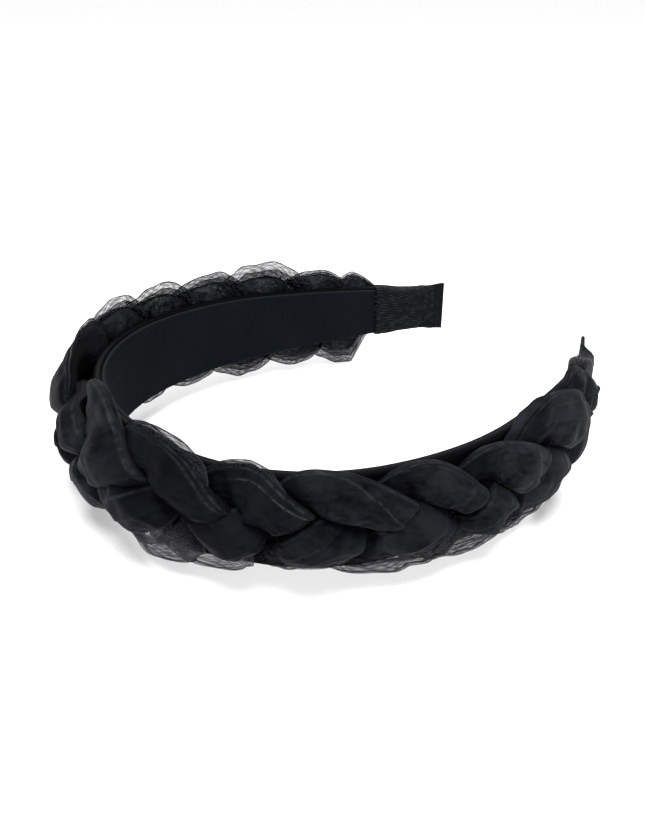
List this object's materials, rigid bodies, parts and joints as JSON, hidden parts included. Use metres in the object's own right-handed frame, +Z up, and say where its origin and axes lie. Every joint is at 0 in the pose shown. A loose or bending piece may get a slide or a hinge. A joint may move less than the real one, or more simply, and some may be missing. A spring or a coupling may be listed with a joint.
{
  "type": "braided headband",
  "caption": "Open U-shaped hair band: puffed sheer strands braided over a stiff satin-covered core, a smooth lining inside and a ribbon wrap round each tip.",
  "frame": {"origin": "middle of the bounding box's bottom, on the surface that the band lies on", "axes": "+Z up, across the band's width, as it lies on its side; +X from the crown to the open tips; +Y to the wearer's left leg of the band"},
  "size_m": [0.158, 0.1458, 0.0446],
  "materials": {
    "satin": "black satin over a stiff core",
    "lining": "smooth blue-black lining cloth",
    "ribbon": "black ribbed ribbon",
    "organza": "black sheer cloth with a soft sheen"
  },
  "bodies": {
    "root": {"core_band": "satin", "lining": "lining", "end_wrap_left": "ribbon", "end_wrap_right": "ribbon", "strand_1": "organza", "strand_2": "organza", "strand_3": "organza"}
  },
  "joints": []
}
